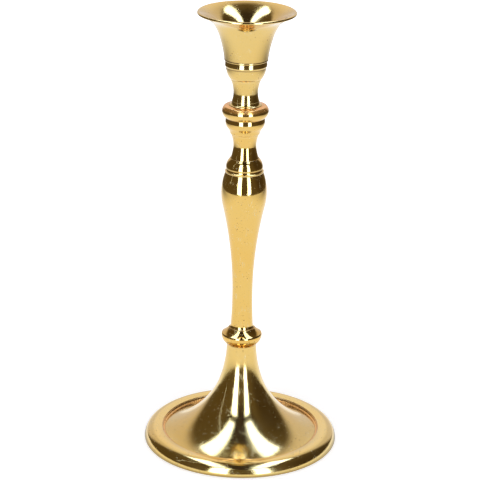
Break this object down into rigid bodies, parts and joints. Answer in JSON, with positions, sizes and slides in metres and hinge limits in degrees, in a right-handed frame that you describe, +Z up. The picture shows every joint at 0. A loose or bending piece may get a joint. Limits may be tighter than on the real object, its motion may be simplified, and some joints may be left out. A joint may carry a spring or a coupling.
{
  "type": "candlestick",
  "caption": "Tall turned brass candlestick with a tulip candle cup, a knop, a baluster stem, a collar and a dished round foot.",
  "frame": {"origin": "centre of the ring on which it stands, on the ground", "axes": "+Z up along the axis of the stem, towards the candle; the object is round, so X and Y are free"},
  "size_m": [0.1226, 0.1226, 0.28],
  "materials": {
    "brass": "polished and lacquered",
    "steel": "zinc plated",
    "felt": "matt felt"
  },
  "bodies": {
    "root": {"foot": "brass", "stem_collar": "brass", "baluster_stem": "brass", "shoulder_ring": "brass", "knop": "brass", "candle_cup": "brass", "tie_rod": "steel", "clamp_washer": "steel", "lock_washer": "steel", "clamp_nut": "steel", "felt_ring": "felt"}
  },
  "joints": []
}
